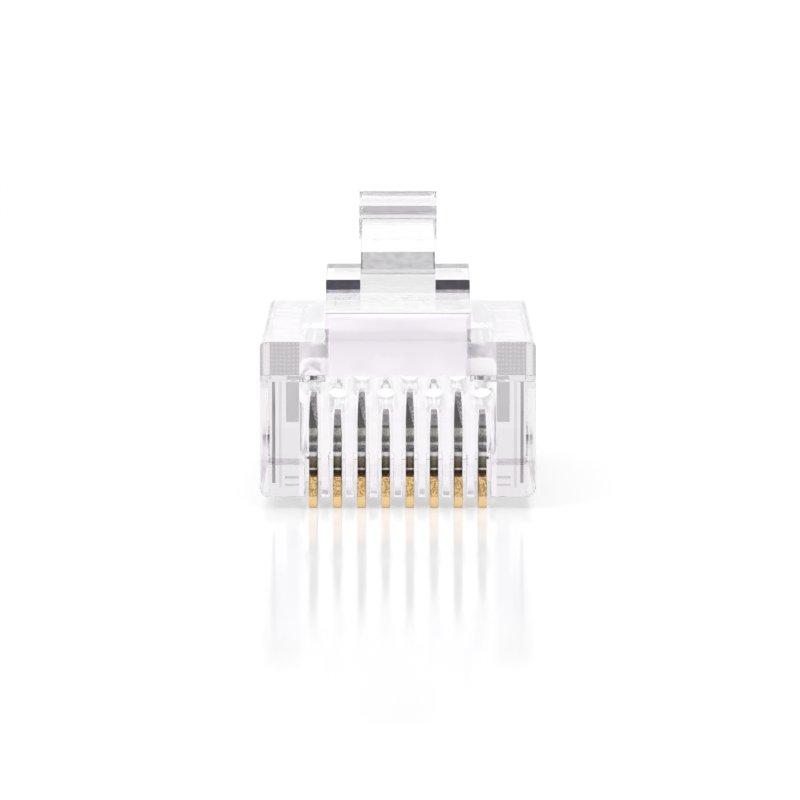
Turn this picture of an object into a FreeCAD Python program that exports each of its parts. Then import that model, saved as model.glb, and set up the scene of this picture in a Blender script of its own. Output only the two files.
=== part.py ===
import FreeCAD, Part
import math
import os
import re

import Sketcher

# An uncrimped 8-way modular plug. +Z is up, on the latch side; the mating nose points along -Y.
# The origin is under the middle of the plug, at the level of the contacts' lower edges.

SIZES = {
    # moulded body
    "body_width": 11.62,
    "body_height": 6.5,
    "body_length": 21.5,
    "bottom_edge_round": 0.35,
    "top_edge_round": 0.25,
    "rear_edge_bevel": 0.15,
    "nose_step_depth": 0.6,
    "nose_step_drop": 1.4,
    "nose_step_bevel": 0.18,
    # contacts and the slots that hold them
    "contact_pitch": 1.02,
    "contact_thickness": 0.35,
    "contact_length": 3.8,
    "contact_setback": 0.15,
    "contact_proud": 0.5,
    "contact_step": 0.75,
    "crown_height": 1.35,
    "crown_round": 0.3,
    "neck_setback": 0.9,
    "tine_height": 1.1,
    "tine_tip": 0.26,
    "crimp_travel": 1.0,
    "stop_gap": 0.05,
    "slit_gap": 0.03,
    "slot_width": 0.66,
    "slot_length": 6.0,
    "slot_round": 0.12,
    # wire channels, funnel and cable cavity
    "wire_bore": 1.1,
    "wire_roof": 1.2,
    "end_wall": 1.0,
    "channel_end": 8.0,
    "funnel_end": 10.5,
    "funnel_lip": 0.1,
    "cavity_wall": 0.65,
    "cavity_width": 8.6,
    "cavity_round": 1.0,
    # latch
    "latch_width": 6.12,
    "root_rise": 1.17,
    "root_round": 0.3,
    "root_side_bevel": 0.18,
    "root_foot": 1.5,
    "hinge_setback": 0.66,
    "hinge_rise": 0.3,
    "knuckle_radius": 0.42,
    "hinge_gap": 0.04,
    "undercut_setback": 1.3,
    "undercut_rise": 0.42,
    "catch_setback": 8.2,
    "catch_rise": 2.7,
    "catch_ramp_setback": 3.9,
    "catch_ramp": 0.45,
    "catch_underside": 1.5,
    "spine_drop": 0.22,
    "tab_width": 3.2,
    "tab_ramp_length": 0.9,
    "tab_ramp_rise": 0.66,
    "tab_end": 18.0,
    "tab_end_rise": 5.25,
    "tab_end_thickness": 1.2,
    "pad_width": 3.42,
    "pad_length": 3.0,
    "pad_step": 0.55,
    "tab_slope": 0.17,
    "tab_corner_round": 0.22,
    # strain-relief bar, hinged in a window of the top wall
    "clamp_setback": 12.6,
    "clamp_length": 4.2,
    "clamp_width": 5.6,
    "clamp_knuckle": 0.25,
    "clamp_depth": 1.1,
    "window_gap": 0.12,
}
CONTACT_COUNT = 8

TOP = "(contact_proud + body_height)"
SLOT_ROOF = "(crown_height + crimp_travel + stop_gap)"
SLIT_WIDTH = "(contact_thickness + 2 * slit_gap)"
# The upper surface of the latch's arm climbs in one plane from the nose to the catches.
ARM_SLOPE = "((catch_rise - spine_drop - root_rise) / catch_setback)"

doc = FreeCAD.newDocument("modular_plug")
sheet = doc.addObject("Spreadsheet::Sheet", "Size")


def fill_sheet():
    for row, (alias, value) in enumerate(SIZES.items(), start=1):
        sheet.set(f"A{row}", alias)
        sheet.set(f"B{row}", str(value))
        sheet.setAlias(f"B{row}", alias)
    doc.recompute()


def bound(text):
    """Turn plain size names into references to the sheet."""
    return re.sub(r"[a-z_]+", lambda m: "Size." + m.group() if m.group() in SIZES else m.group(), text)


def value(text):
    return float(sheet.evalExpression(bound(text)))


def behind(distance):
    """Y of a point that lies a distance behind the nose."""
    return f"({distance} - body_length / 2)"


def above(rise):
    """Z of a point that lies a height above the body's top face."""
    return f"({TOP} + {rise})"


def arm_top(distance):
    """Z of the arm's upper surface at a distance behind the nose."""
    return above(f"root_rise + {ARM_SLOPE} * ({distance})")


def set_size(feature, prop, text):
    feature.setExpression(prop, bound(text))


def origin_plane(body, role):
    return next(item for item in body.Origin.OriginFeatures if item.Role == role)


def new_body(label):
    body = doc.addObject("PartDesign::Body", label)
    body.Label = label
    body.Placement = FreeCAD.Placement()
    return body


def new_sketch(body, name, role, offset="0"):
    sketch = body.newObject("Sketcher::SketchObject", name)
    sketch.AttachmentSupport = [(origin_plane(body, role), "")]
    sketch.MapMode = "FlatFace"
    set_size(sketch, ".AttachmentOffset.Base.z", offset)
    return sketch


def pin_point(sketch, geometry, point, across, up):
    """Hold a point of the sketch at two bound distances from its origin."""
    for kind, text in (("DistanceX", across), ("DistanceY", up)):
        number = sketch.addConstraint(Sketcher.Constraint(kind, -1, 1, geometry, point, value(text)))
        set_size(sketch, f"Constraints[{number}]", text)


def draw_polygon(sketch, points):
    """Closed outline through (across, up) points given as expressions."""
    corners = [FreeCAD.Vector(value(across), value(up), 0) for across, up in points]
    first = sketch.GeometryCount
    for start, end in zip(corners, corners[1:] + corners[:1]):
        sketch.addGeometry(Part.LineSegment(start, end), False)
    for index, (across, up) in enumerate(points):
        following = first + (index + 1) % len(points)
        sketch.addConstraint(Sketcher.Constraint("Coincident", first + index, 2, following, 1))
        pin_point(sketch, first + index, 1, across, up)


def draw_circle(sketch, across, up, radius):
    centre = FreeCAD.Vector(value(across), value(up), 0)
    index = sketch.addGeometry(Part.Circle(centre, FreeCAD.Vector(0, 0, 1), value(radius)), False)
    pin_point(sketch, index, 3, across, up)
    number = sketch.addConstraint(Sketcher.Constraint("Radius", index, value(radius)))
    set_size(sketch, f"Constraints[{number}]", radius)


def draw_rounded_box(sketch, left, right, low, high, low_round, high_round):
    """Rectangle with arcs at its corners, of one radius below and another above."""
    corners = [(f"{left} + {low_round}", f"{low} + {low_round}", low_round),
               (f"{right} - {low_round}", f"{low} + {low_round}", low_round),
               (f"{right} - {high_round}", f"{high} - {high_round}", high_round),
               (f"{left} + {high_round}", f"{high} - {high_round}", high_round)]
    for quarter, (across, up, radius) in enumerate(corners, start=2):
        centre = FreeCAD.Vector(value(across), value(up), 0)
        circle = Part.Circle(centre, FreeCAD.Vector(0, 0, 1), value(radius))
        sketch.addGeometry(Part.ArcOfCircle(circle, quarter * math.pi / 2, (quarter + 1) * math.pi / 2), False)
    for arc in range(4):
        start = sketch.Geometry[arc].EndPoint
        end = sketch.Geometry[(arc + 1) % 4].StartPoint
        sketch.addGeometry(Part.LineSegment(start, end), False)
    for arc, (across, up, radius) in enumerate(corners):
        sketch.addConstraint(Sketcher.Constraint("Tangent", arc, 2, 4 + arc, 1))
        sketch.addConstraint(Sketcher.Constraint("Tangent", 4 + arc, 2, (arc + 1) % 4, 1))
        pin_point(sketch, arc, 3, across, up)
        number = sketch.addConstraint(Sketcher.Constraint("Radius", arc, value(radius)))
        set_size(sketch, f"Constraints[{number}]", radius)


def extrude(body, kind, name, sketch, length, symmetric=False, reverse=False):
    """Pad or pocket a sketch, and check that it changed the solid the right way."""
    before = body.Shape.Volume if body.Tip else 0.0
    feature = body.newObject("PartDesign::" + kind, name)
    feature.Profile = sketch
    if symmetric:
        feature.SideType = "Symmetric"
    feature.Reversed = reverse
    set_size(feature, "Length", length)
    doc.recompute()
    grown = feature.Shape.Volume - before
    if (grown <= 0) == (kind == "Pad"):
        raise RuntimeError(f"{name} changes the volume of {body.Label} by {grown:.4f} mm3")
    return feature


def repeat_across(body, name, features, sketch, spacing, count):
    pattern = body.newObject("PartDesign::LinearPattern", name)
    pattern.Originals = features
    pattern.Direction = (sketch, ["H_Axis"])
    pattern.Mode = "Spacing"
    set_size(pattern, "Offset", spacing)
    pattern.Occurrences = count
    body.Tip = pattern
    doc.recompute()
    return pattern


def mirror_across(body, name, features):
    mirror = body.newObject("PartDesign::Mirrored", name)
    mirror.Originals = features
    mirror.MirrorPlane = (origin_plane(body, "YZ_Plane"), [""])
    body.Tip = mirror
    doc.recompute()
    return mirror


def cut_edges(body, kind, name, size, wanted):
    """Fillet or chamfer the edges of the body's tip whose end points pass the test."""
    base = body.Tip
    names = [f"Edge{number}" for number, edge in enumerate(base.Shape.Edges, start=1)
             if all(wanted(vertex.Point) for vertex in edge.Vertexes)]
    if not names:
        raise RuntimeError(f"{name} found no edge on {body.Label}")
    feature = body.newObject("PartDesign::" + kind, name)
    feature.Base = (base, names)
    set_size(feature, "Radius" if kind == "Fillet" else "Size", size)
    doc.recompute()
    return feature


def near(number, text):
    return abs(number - value(text)) < 1e-4


def contact_across(index):
    """X of a contact's middle plane; index 0 is contact 1."""
    return f"({index - (CONTACT_COUNT - 1) / 2} * contact_pitch)"


def is_tall(index):
    """Contacts 1, 3, 5 and 7 reach the upper row of wire channels."""
    return index % 2 == 0


def channel_middle(index):
    """Z of a wire channel's axis, in the upper row or one contact step below it."""
    upper = above("(-wire_roof - wire_bore / 2)")
    return upper if is_tall(index) else f"({upper} - contact_step)"


def build_shell(body):
    """The block with its rounded long edges, the step at the top of its nose and the rear corners."""
    section = new_sketch(body, "section", "XZ_Plane")
    draw_rounded_box(section, "-body_width / 2", "body_width / 2", "contact_proud", TOP,
                     "bottom_edge_round", "top_edge_round")
    extrude(body, "Pad", "block", section, "body_length", symmetric=True)
    cut_edges(body, "Chamfer", "rear_rim", "rear_edge_bevel", lambda p: near(p.y, "body_length / 2"))
    step = new_sketch(body, "nose_step_outline", "YZ_Plane")
    ledge = above("-nose_step_drop")
    draw_polygon(step, [(behind("-1"), f"{TOP} + 1"),
                        (behind("-1"), f"{ledge} - nose_step_bevel"),
                        (behind("0"), f"{ledge} - nose_step_bevel"),
                        (behind("nose_step_bevel"), ledge),
                        (behind("nose_step_depth"), ledge),
                        (behind("nose_step_depth"), f"{TOP} + 1")])
    extrude(body, "Pocket", "nose_step", step, "body_width + 2", symmetric=True)


def bevel_root_corners(body, low, height):
    """Bevel the upright front corners of the post that carries the latch, from a low level up."""
    corner = new_sketch(body, "corner_outline", "XY_Plane", low)
    for side in ("", "-"):
        draw_polygon(corner, [(f"{side}latch_width / 2", behind("root_side_bevel")),
                              (f"{side}(latch_width / 2 + root_side_bevel)", behind("-root_side_bevel")),
                              (f"{side}(latch_width / 2 - root_side_bevel)", behind("0"))])
    extrude(body, "Pocket", "post_corners", corner, height, reverse=True)


def build_root(body):
    """The foot of the latch's post at the nose, with the round seat of the hinge in its top."""
    outline = new_sketch(body, "root_outline", "YZ_Plane")
    low = above("(-nose_step_drop - 0.5)")
    draw_polygon(outline, [(behind("0"), low),
                           (behind("0"), above("hinge_rise")),
                           (behind("hinge_setback"), above("hinge_rise")),
                           (behind("root_foot"), above("0")),
                           (behind("root_foot"), low)])
    extrude(body, "Pad", "root", outline, "latch_width", symmetric=True)
    bevel_root_corners(body, above("-nose_step_drop"), "nose_step_drop + 2 * hinge_rise")
    seat = new_sketch(body, "hinge_seat_outline", "YZ_Plane")
    draw_circle(seat, behind("hinge_setback"), above("hinge_rise"), "knuckle_radius + hinge_gap")
    extrude(body, "Pocket", "hinge_seat", seat, "latch_width + 2 * hinge_gap", symmetric=True)


def build_slots(body):
    """Eight slots open to the nose and the underside, each below a slit and a wire channel."""
    slot = new_sketch(body, "slot_outline", "XZ_Plane", "body_length / 2")
    middle = contact_across(0)
    draw_rounded_box(slot, f"{middle} - slot_width / 2", f"{middle} + slot_width / 2",
                     "contact_proud - 1", SLOT_ROOF, "slot_round", "slot_round")
    first = extrude(body, "Pocket", "slot", slot, "slot_length")
    repeat_across(body, "slots", [first], slot, "contact_pitch", CONTACT_COUNT)
    for row, index in (("upper", 0), ("lower", 1)):
        build_channels(body, row, index)


def build_channels(body, row, index):
    """One row of slits and wire channels, from its first contact to every second one after it."""
    middle = contact_across(index)
    slit = new_sketch(body, row + "_slit_outline", "XZ_Plane", "body_length / 2 - end_wall")
    draw_polygon(slit, [(f"{middle} - {SLIT_WIDTH} / 2", f"{SLOT_ROOF} - slot_round"),
                        (f"{middle} + {SLIT_WIDTH} / 2", f"{SLOT_ROOF} - slot_round"),
                        (f"{middle} + {SLIT_WIDTH} / 2", channel_middle(index)),
                        (f"{middle} - {SLIT_WIDTH} / 2", channel_middle(index))])
    slit_cut = extrude(body, "Pocket", row + "_slit", slit,
                       "contact_setback + contact_length - neck_setback + slit_gap - end_wall")
    channel = new_sketch(body, row + "_channel_outline", "XZ_Plane", "body_length / 2 - end_wall")
    draw_circle(channel, middle, channel_middle(index), "wire_bore / 2")
    channel_cut = extrude(body, "Pocket", row + "_channel", channel, "channel_end - end_wall")
    repeat_across(body, row + "_channels", [slit_cut, channel_cut], channel, "2 * contact_pitch",
                  CONTACT_COUNT // 2)


def build_cavity(body):
    """The cable cavity, open at the rear, and the funnel that leads from it to the wire channels."""
    mouth = new_sketch(body, "cavity_outline", "XZ_Plane", "-body_length / 2")
    draw_rounded_box(mouth, "-cavity_width / 2", "cavity_width / 2", "contact_proud + cavity_wall",
                     f"{TOP} - cavity_wall", "cavity_round", "cavity_round")
    extrude(body, "Pocket", "cavity", mouth, "body_length - funnel_end", reverse=True)
    wide = new_sketch(body, "funnel_rear", "XZ_Plane", "body_length / 2 - funnel_end")
    draw_rounded_box(wide, "-cavity_width / 2", "cavity_width / 2", "contact_proud + cavity_wall",
                     f"{TOP} - cavity_wall", "cavity_round", "cavity_round")
    narrow = new_sketch(body, "funnel_front", "XZ_Plane", "body_length / 2 - channel_end")
    reach = "(wire_bore / 2 + funnel_lip)"
    row_half = f"({(CONTACT_COUNT - 1) / 2} * contact_pitch + {reach})"
    draw_rounded_box(narrow, f"-{row_half}", row_half, f"{channel_middle(1)} - {reach}",
                     f"{channel_middle(0)} + {reach}", "wire_bore / 3", "wire_bore / 3")
    doc.recompute()
    before = body.Shape.Volume
    funnel = body.newObject("PartDesign::SubtractiveLoft", "funnel")
    funnel.Profile = wide
    funnel.Sections = [narrow]
    doc.recompute()
    if funnel.Shape.Volume >= before:
        raise RuntimeError("the funnel cuts nothing")


CLAMP_AXIS = above("(-cavity_wall / 2)")


def build_window(body):
    """The clamp's window through the top wall, with a round seat for its hinge at the front."""
    outline = new_sketch(body, "window_outline", "YZ_Plane")
    rear = behind("(clamp_setback + clamp_length + window_gap)")
    low = above("(-1.5 * cavity_wall)")
    lip = behind("(clamp_setback - 0.8 * clamp_knuckle)")
    draw_polygon(outline, [(behind("clamp_setback"), above("0.5")),
                           (behind("clamp_setback"), CLAMP_AXIS),
                           (lip, f"{CLAMP_AXIS} - 0.8 * clamp_knuckle"),
                           (lip, low),
                           (rear, low),
                           (rear, above("0.5"))])
    extrude(body, "Pocket", "window", outline, "clamp_width + 2 * window_gap", symmetric=True)
    seat = new_sketch(body, "clamp_seat_outline", "YZ_Plane")
    draw_circle(seat, behind("clamp_setback"), CLAMP_AXIS, "clamp_knuckle + hinge_gap")
    extrude(body, "Pocket", "clamp_seat", seat, "clamp_width + 2 * window_gap", symmetric=True)


def build_housing():
    body = new_body("housing")
    build_shell(body)
    build_root(body)
    build_slots(body)
    build_cavity(body)
    build_window(body)
    return body


def build_latch():
    """The post and its round hinge end, the arm, a catch on each side, and the tab with its thumb pad."""
    body = new_body("latch")
    axis = (behind("hinge_setback"), above("hinge_rise"))
    knuckle = new_sketch(body, "knuckle_outline", "YZ_Plane")
    draw_circle(knuckle, *axis, "knuckle_radius")
    extrude(body, "Pad", "knuckle", knuckle, "latch_width", symmetric=True)
    arm = new_sketch(body, "arm_outline", "YZ_Plane")
    draw_polygon(arm, [axis,
                       (behind("0"), above("hinge_rise + hinge_gap")),
                       (behind("0"), arm_top("0")),
                       (behind("catch_setback"), arm_top("catch_setback")),
                       (behind("catch_setback"), above("catch_underside")),
                       (behind("undercut_setback"), above("undercut_rise"))])
    extrude(body, "Pad", "arm", arm, "latch_width", symmetric=True)
    cut_edges(body, "Fillet", "post_front", "root_round",
              lambda p: near(p.y, behind("0")) and near(p.z, arm_top("0")))
    bevel_root_corners(body, above("0"), "2 * root_rise")
    side_width = "((latch_width - tab_width) / 2)"
    catch = new_sketch(body, "catch_outline", "YZ_Plane", "tab_width / 2")
    draw_polygon(catch, [(behind("catch_ramp_setback"), arm_top("catch_ramp_setback")),
                         (behind("(catch_ramp_setback + catch_ramp)"),
                          f"{arm_top('catch_ramp_setback + catch_ramp')} + catch_ramp"),
                         (behind("catch_setback"), above("catch_rise")),
                         (behind("catch_setback"), above("catch_underside + 0.3"))])
    first_catch = extrude(body, "Pad", "catch", catch, side_width)
    mirror_across(body, "catches", [first_catch])
    build_tab(body)
    return body


def build_tab(body):
    """The squeeze tab: a ramp up behind the catches, a plain run and a stepped thumb pad."""
    ramp_end = "(catch_setback + tab_ramp_length)"
    pad_start = "(tab_end - pad_length)"
    ramp_top = "(catch_rise - spine_drop + tab_ramp_rise)"
    run_top = f"({ramp_top} + tab_slope * ({pad_start} - {ramp_end}))"
    end_low = "(tab_end_rise - tab_end_thickness)"
    underside = f"(({end_low} - catch_underside) / (tab_end - catch_setback))"
    tab = new_sketch(body, "tab_outline", "YZ_Plane")
    draw_polygon(tab, [(behind("(catch_setback - 0.5)"), above("(catch_underside + 0.3)")),
                       (behind("catch_setback"), above("(catch_rise - spine_drop)")),
                       (behind(ramp_end), above(ramp_top)),
                       (behind(f"({pad_start} + 0.4)"), above(f"({run_top} + tab_slope * 0.4)")),
                       (behind(f"({pad_start} + 0.4)"),
                        above(f"(catch_underside + {underside} * ({pad_start} + 0.4 - catch_setback))")),
                       (behind("catch_setback"), above("catch_underside"))])
    extrude(body, "Pad", "tab", tab, "tab_width", symmetric=True)
    pad = new_sketch(body, "pad_outline", "YZ_Plane")
    draw_polygon(pad, [(behind(pad_start), above(run_top)),
                       (behind(f"({pad_start} + pad_step)"), above(f"({run_top} + pad_step)")),
                       (behind("tab_end"), above("tab_end_rise")),
                       (behind("tab_end"), above(end_low)),
                       (behind(pad_start),
                        above(f"(catch_underside + {underside} * ({pad_start} - catch_setback))"))])
    extrude(body, "Pad", "thumb_pad", pad, "pad_width", symmetric=True)
    cut_edges(body, "Fillet", "pad_corners", "tab_corner_round",
                lambda p: near(p.y, behind("tab_end")) and near(abs(p.x), "pad_width / 2"))


def build_clamp():
    """The strain-relief bar: flush with the top wall, thicker towards its free rear edge."""
    body = new_body("cable_clamp")
    axis = (behind("clamp_setback"), CLAMP_AXIS)
    knuckle = new_sketch(body, "knuckle_outline", "YZ_Plane")
    draw_circle(knuckle, *axis, "clamp_knuckle")
    extrude(body, "Pad", "knuckle", knuckle, "clamp_width", symmetric=True)
    rear = behind("(clamp_setback + clamp_length)")
    bar = new_sketch(body, "bar_outline", "YZ_Plane")
    draw_polygon(bar, [(axis[0], f"{axis[1]} + clamp_knuckle"),
                       (rear, f"{axis[1]} + clamp_knuckle"),
                       (rear, above("(-0.6 * clamp_depth)")),
                       (f"{rear} - 0.4 * clamp_depth", above("(-clamp_depth)")),
                       (f"{rear} - 0.8 * clamp_depth", above("(-clamp_depth)")),
                       (axis[0], f"{axis[1]} - clamp_knuckle")])
    extrude(body, "Pad", "bar", bar, "clamp_width", symmetric=True)
    return body


def build_contact(index):
    """A stamped blade: a rounded crown below, a narrower neck and two piercing tines above."""
    body = new_body(f"contact_{index + 1}")
    front = "contact_setback"
    rear = "(contact_setback + contact_length)"
    tip = f"({channel_middle(index)} - wire_bore / 2)"
    valley = f"({tip} - tine_height)"
    neck_front = f"({front} + neck_setback)"
    neck_rear = f"({rear} - neck_setback)"
    neck = f"({neck_rear} - {neck_front})"
    profile = new_sketch(body, "blade_outline", "YZ_Plane", contact_across(index))
    draw_polygon(profile, [(behind(front), "0"),
                           (behind(rear), "0"),
                           (behind(rear), "crown_height"),
                           (behind(neck_rear), "crown_height"),
                           (behind(neck_rear), tip),
                           (behind(f"({neck_rear} - 0.12 * {neck})"), tip),
                           (behind(f"({neck_rear} - 0.4 * {neck})"), valley),
                           (behind(f"({neck_front} + 0.4 * {neck})"), valley),
                           (behind(f"({neck_front} + 0.12 * {neck})"), tip),
                           (behind(neck_front), tip),
                           (behind(neck_front), "crown_height"),
                           (behind(front), "crown_height")])
    extrude(body, "Pad", "blade", profile, "contact_thickness", symmetric=True)
    cut_edges(body, "Fillet", "crown_front", "crown_round", lambda p: near(p.z, "0") and near(p.y, behind(front)))
    cut_edges(body, "Fillet", "crown_rear", "crown_round", lambda p: near(p.z, "0") and near(p.y, behind(rear)))
    coin = new_sketch(body, "coin_outline", "XZ_Plane")
    middle = contact_across(index)
    draw_polygon(coin, [(f"{middle} + tine_tip / 2", tip),
                        (f"{middle} + contact_thickness / 2", valley),
                        (f"{middle} + contact_thickness", valley),
                        (f"{middle} + contact_thickness", f"{tip} + 0.1"),
                        (f"{middle} + tine_tip / 2", f"{tip} + 0.1")])
    draw_polygon(coin, [(f"{middle} - tine_tip / 2", tip),
                        (f"{middle} - contact_thickness / 2", valley),
                        (f"{middle} - contact_thickness", valley),
                        (f"{middle} - contact_thickness", f"{tip} + 0.1"),
                        (f"{middle} - tine_tip / 2", f"{tip} + 0.1")])
    extrude(body, "Pocket", "coined_tips", coin, "body_length", symmetric=True)
    return body


def check_document():
    doc.recompute()
    failed = [item.Label for item in doc.Objects if {"Invalid", "Error"} & set(item.State)]
    if failed:
        raise RuntimeError("failed to compute: " + ", ".join(failed))


def check_shape(body):
    shape = body.Shape
    if shape.isNull() or not shape.isValid() or len(shape.Solids) != 1:
        raise RuntimeError(body.Label + " is not one valid solid")


fill_sheet()
bodies = [build_housing(), build_latch(), build_clamp()]
bodies += [build_contact(index) for index in range(CONTACT_COUNT)]
check_document()
for node in bodies:
    check_shape(node)
os.makedirs("parts", exist_ok=True)
for node in bodies:
    node.Shape.exportStep(f"parts/{node.Label}.step")
    print(f"{node.Label}: {node.Shape.Volume:.3f} mm3")
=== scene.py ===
"""Dress a clear, uncrimped eight-way modular plug: its moulding, cable clamp and gold-crowned contacts."""

import logging
import math
from dataclasses import dataclass, fields
from enum import Enum
from typing import Callable, Iterable, Union

import bpy
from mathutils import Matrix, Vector


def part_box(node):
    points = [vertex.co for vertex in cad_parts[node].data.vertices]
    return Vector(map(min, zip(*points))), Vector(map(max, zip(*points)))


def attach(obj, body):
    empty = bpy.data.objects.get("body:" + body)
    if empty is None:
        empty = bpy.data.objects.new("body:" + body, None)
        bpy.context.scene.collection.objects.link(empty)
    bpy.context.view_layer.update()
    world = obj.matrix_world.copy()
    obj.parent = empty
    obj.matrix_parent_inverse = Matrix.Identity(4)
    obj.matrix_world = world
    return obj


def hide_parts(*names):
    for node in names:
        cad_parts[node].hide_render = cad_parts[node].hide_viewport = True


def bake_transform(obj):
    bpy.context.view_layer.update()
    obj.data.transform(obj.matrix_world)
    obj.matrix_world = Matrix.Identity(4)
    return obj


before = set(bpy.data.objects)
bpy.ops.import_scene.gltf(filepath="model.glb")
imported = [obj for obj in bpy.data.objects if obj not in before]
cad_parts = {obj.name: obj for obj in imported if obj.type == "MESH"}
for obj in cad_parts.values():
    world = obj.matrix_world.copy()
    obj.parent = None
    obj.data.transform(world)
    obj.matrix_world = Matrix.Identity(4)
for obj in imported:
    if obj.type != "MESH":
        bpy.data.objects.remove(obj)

LOG = logging.getLogger("modular_plug")
MM = 0.001
SLACK = 0.01 * MM
WELD = 0.0005 * MM
CUT_REACH = 0.001 * MM
FLAT_ANGLE = math.radians(0.3)
SOFT_ANGLE = math.radians(3)
SHARP_ANGLE = math.radians(30)
FACING = 0.99
CONTACTS = 8
WHITE = (1.0, 1.0, 1.0)
BLACK = (0.0, 0.0, 0.0)
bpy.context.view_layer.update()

Piece = bpy.types.Object
Face = bpy.types.MeshPolygon
Material = bpy.types.Material
Node = bpy.types.Node
Socket = bpy.types.NodeSocket
Pair = tuple[float, float]
Triple = tuple[float, float, float]
Colour = Triple
Stops = Iterable[tuple[float, Colour]]
Source = Union[Socket, float, tuple[float, ...]]


def near(value: float, target: float, slack: float = SLACK) -> bool:
    """Say whether two lengths agree to within a slack."""
    return abs(value - target) <= slack


def pick(piece: Piece) -> None:
    """Make one piece the only selected and active object.

    Args:
        piece: The piece to work on.
    """
    bpy.ops.object.select_all(action="DESELECT")
    piece.select_set(True)
    bpy.context.view_layer.objects.active = piece


def edit(piece: Piece, mode: str = "VERT", whole: bool = False) -> None:
    """Open a piece in edit mode with nothing, or everything, selected.

    Args:
        piece: The piece to edit.
        mode: VERT, EDGE or FACE.
        whole: True to select the whole mesh.
    """
    pick(piece)
    bpy.ops.object.mode_set(mode="EDIT")
    bpy.ops.mesh.select_mode(type=mode)
    bpy.ops.mesh.select_all(action="SELECT" if whole else "DESELECT")


def leave_edit() -> None:
    """Go back to object mode."""
    bpy.ops.object.mode_set(mode="OBJECT")


def select(piece: Piece, mode: str, wanted: Callable[..., bool]) -> int:
    """Open a piece in edit mode with what a rule accepts selected.

    Args:
        piece: The piece to edit.
        mode: VERT, EDGE or FACE.
        wanted: Takes a vertex, the places of an edge's two ends, or a face, and says whether it is selected.

    Returns:
        How many are selected.
    """
    edit(piece, mode)
    leave_edit()
    mesh = piece.data
    found = 0
    for item in {"VERT": mesh.vertices, "EDGE": mesh.edges, "FACE": mesh.polygons}[mode]:
        told = [mesh.vertices[end].co for end in item.vertices] if mode == "EDGE" else [item]
        item.select = wanted(*told)
        found += item.select
    bpy.ops.object.mode_set(mode="EDIT")
    return found


def join_flats(piece: Piece) -> None:
    """Merge the points that coincide and the faces that lie in one plane.

    Args:
        piece: The piece to clean.
    """
    edit(piece, whole=True)
    bpy.ops.mesh.remove_doubles(threshold=WELD)
    bpy.ops.mesh.select_all(action="SELECT")
    bpy.ops.mesh.dissolve_limited(angle_limit=FLAT_ANGLE)
    leave_edit()


def take_copy(node: str, name: str) -> Piece:
    """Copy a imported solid's mesh, merge its triangles and join the flat ones.

    Args:
        node: The solid to copy.
        name: The new piece's name.

    Returns:
        The new piece, at the origin.
    """
    piece = bpy.data.objects.new(name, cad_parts[node].data.copy())
    bpy.context.scene.collection.objects.link(piece)
    piece.data.materials.clear()
    edit(piece)
    bpy.ops.mesh.customdata_custom_splitnormals_clear()
    leave_edit()
    join_flats(piece)
    return piece


def fuse(piece: Piece, other: Piece) -> None:
    """Join another closed mesh to a piece as one skin, and remove the other.

    Args:
        piece: The piece that grows.
        other: The piece that is taken in.
    """
    pick(piece)
    modifier = piece.modifiers.new("fuse", "BOOLEAN")
    modifier.operation = "UNION"
    modifier.solver = "EXACT"
    modifier.object = other
    bpy.ops.object.modifier_apply(modifier=modifier.name)
    bpy.data.objects.remove(other)


def soften(piece: Piece, radius: float) -> None:
    """Round every sharp edge of a piece.

    Args:
        piece: The piece.
        radius: How far the rounding reaches from each edge.
    """
    edit(piece, "EDGE")
    bpy.ops.mesh.edges_select_sharp(sharpness=SHARP_ANGLE)
    bpy.ops.mesh.bevel(offset=radius, segments=2, affect="EDGES", clamp_overlap=True)
    leave_edit()


def smooth(piece: Piece, degrees: float, flat: Callable[[Face], bool] = lambda face: False) -> None:
    """Shade a piece smooth, with edges kept sharp above an angle and round flats.

    Args:
        piece: The piece to shade.
        degrees: The angle between faces above which an edge stays sharp.
        flat: Takes a face and says whether it belongs to a flat, which keeps a sharp outline and its own light.
    """
    edit(piece, whole=True)
    bpy.ops.mesh.delete_loose()
    leave_edit()
    bpy.ops.object.shade_smooth_by_angle(angle=math.radians(degrees))
    sides: dict[tuple[int, int], list[Face]] = {}
    for face in piece.data.polygons:
        for key in face.edge_keys:
            sides.setdefault(key, []).append(face)
    for edge in piece.data.edges:
        faces = sides.get(edge.key, [])
        if len(faces) == 2 and any(map(flat, faces)):
            bend = faces[0].normal.angle(faces[1].normal)
            edge.use_edge_sharp = edge.use_edge_sharp or bend > SOFT_ANGLE
    modifier = piece.modifiers.new("flat_faces", "WEIGHTED_NORMAL")
    modifier.weight = 100
    modifier.keep_sharp = True
    bpy.ops.object.modifier_apply(modifier=modifier.name)


class Slot(Enum):
    """The material slots of the record."""

    CLEAR = "clear_plastic"
    CONTACT = "plated_contact"


@dataclass(frozen=True)
class FaceLook:
    """How one face of the clear moulding departs from polished clear plastic.

    Attributes:
        matt: How rough and milky the face is, from 0 to 1.
        painted_white: How much painted white light lies on it, from 0 to 1, which turns it milky and whitish.
        painted_shade: How much painted shade greys the light that goes in, from 0 to 1.
        grain: How much of a fine woven tool mark it carries, from 0 to 1.
    """

    matt: float = 0.0
    painted_white: float = 0.0
    painted_shade: float = 0.0
    grain: float = 0.0


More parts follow.
